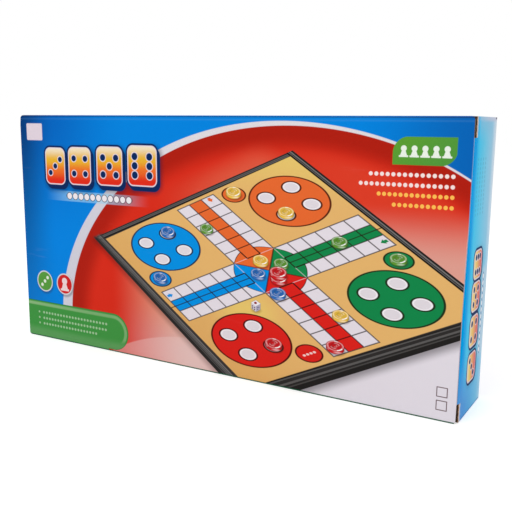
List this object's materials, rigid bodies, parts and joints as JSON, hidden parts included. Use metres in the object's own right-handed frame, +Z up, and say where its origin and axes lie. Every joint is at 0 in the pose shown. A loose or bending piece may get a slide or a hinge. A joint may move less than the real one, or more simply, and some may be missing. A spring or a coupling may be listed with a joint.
{
  "type": "board game box",
  "caption": "Tuck-end printed cardboard carton standing on its long side, with hinged end panels and dust flaps, holding a folded magnetic board case and its playing pieces.",
  "frame": {"origin": "centre of the base that the carton stands on", "axes": "+Z up, +X along the carton to its right end, the printed front faces -Y"},
  "size_m": [0.328, 0.049, 0.165],
  "materials": {
    "printed_board": "gloss-laminated full-colour print",
    "kraft_board": "uncoated brown board",
    "black_plastic": "moulded, fine grain",
    "pin_steel": "drawn wire",
    "sheet_steel": "rolled sheet",
    "playing_paper": "laminated print",
    "foam": "closed-cell foam",
    "leaflet_paper": "uncoated",
    "die_plastic": "gloss",
    "red_plastic": "clear tinted",
    "blue_plastic": "clear tinted",
    "green_plastic": "clear tinted",
    "yellow_plastic": "clear tinted",
    "magnet": "sintered"
  },
  "bodies": {
    "carton": {"front_panel": "printed_board", "back_panel": "printed_board", "top_panel": "printed_board", "bottom_panel": "printed_board", "glue_seam": "kraft_board", "front_half": "black_plastic", "rear_half": "black_plastic", "latch_clip": "black_plastic", "hinge_pin_left": "pin_steel", "hinge_pin_right": "pin_steel", "front_steel_sheet": "sheet_steel", "rear_steel_sheet": "sheet_steel", "front_playing_sheet": "playing_paper", "rear_playing_sheet": "playing_paper", "piece_foam": "foam", "rules_leaflet": "leaflet_paper", "die": "die_plastic", "red_pawn_1": "red_plastic", "red_pawn_2": "red_plastic", "red_pawn_3": "red_plastic", "red_pawn_4": "red_plastic", "blue_pawn_1": "blue_plastic", "blue_pawn_2": "blue_plastic", "blue_pawn_3": "blue_plastic", "blue_pawn_4": "blue_plastic", "green_pawn_1": "green_plastic", "green_pawn_2": "green_plastic", "green_pawn_3": "green_plastic", "green_pawn_4": "green_plastic", "yellow_pawn_1": "yellow_plastic", "yellow_pawn_2": "yellow_plastic", "yellow_pawn_3": "yellow_plastic", "yellow_pawn_4": "yellow_plastic", "red_pawn_magnets": "magnet", "blue_pawn_magnets": "magnet", "green_pawn_magnets": "magnet", "yellow_pawn_magnets": "magnet"},
    "right_closure": {"right_end_panel": "printed_board"},
    "right_tab": {"right_tuck_tab": "kraft_board"},
    "right_upper_flap": {"right_upper_dust_flap": "kraft_board"},
    "right_lower_flap": {"right_lower_dust_flap": "kraft_board"},
    "left_closure": {"left_end_panel": "printed_board"},
    "left_tab": {"left_tuck_tab": "kraft_board"},
    "left_upper_flap": {"left_upper_dust_flap": "kraft_board"},
    "left_lower_flap": {"left_lower_dust_flap": "kraft_board"}
  },
  "joints": [
    {"name": "right_end_hinge", "type": "hinge", "parent": "carton", "child": "right_closure", "pos_m": [0.1633, 0.0238, 0.0825], "axis": [0, 0, 1], "range_deg": [0, 170]},
    {"name": "right_tab_crease", "type": "hinge", "parent": "right_closure", "child": "right_tab", "pos_m": [0.1616, -0.0221, 0.0825], "axis": [0, 0, 1], "range_deg": [0, 34.5]},
    {"name": "right_upper_flap_crease", "type": "hinge", "parent": "carton", "child": "right_upper_flap", "pos_m": [0.1616, 0, 0.1643], "axis": [0, -1, 0], "range_deg": [0, 90]},
    {"name": "right_lower_flap_crease", "type": "hinge", "parent": "carton", "child": "right_lower_flap", "pos_m": [0.1616, 0, 0.0007], "axis": [0, 1, 0], "range_deg": [0, 90]},
    {"name": "left_end_hinge", "type": "hinge", "parent": "carton", "child": "left_closure", "pos_m": [-0.1633, 0.0238, 0.0825], "axis": [0, 0, -1], "range_deg": [0, 170]},
    {"name": "left_tab_crease", "type": "hinge", "parent": "left_closure", "child": "left_tab", "pos_m": [-0.1616, -0.0221, 0.0825], "axis": [0, 0, -1], "range_deg": [0, 34.5]},
    {"name": "left_upper_flap_crease", "type": "hinge", "parent": "carton", "child": "left_upper_flap", "pos_m": [-0.1616, 0, 0.1643], "axis": [0, 1, 0], "range_deg": [0, 90]},
    {"name": "left_lower_flap_crease", "type": "hinge", "parent": "carton", "child": "left_lower_flap", "pos_m": [-0.1616, 0, 0.0007], "axis": [0, -1, 0], "range_deg": [0, 90]}
  ],
  "couplings": [
    {"joint": "right_tab_crease", "follows": "right_end_hinge", "ratio": 0.2},
    {"joint": "right_upper_flap_crease", "follows": "right_end_hinge", "ratio": 0.52},
    {"joint": "right_lower_flap_crease", "follows": "right_end_hinge", "ratio": 0.52},
    {"joint": "left_tab_crease", "follows": "left_end_hinge", "ratio": 0.2},
    {"joint": "left_upper_flap_crease", "follows": "left_end_hinge", "ratio": 0.52},
    {"joint": "left_lower_flap_crease", "follows": "left_end_hinge", "ratio": 0.52}
  ]
}
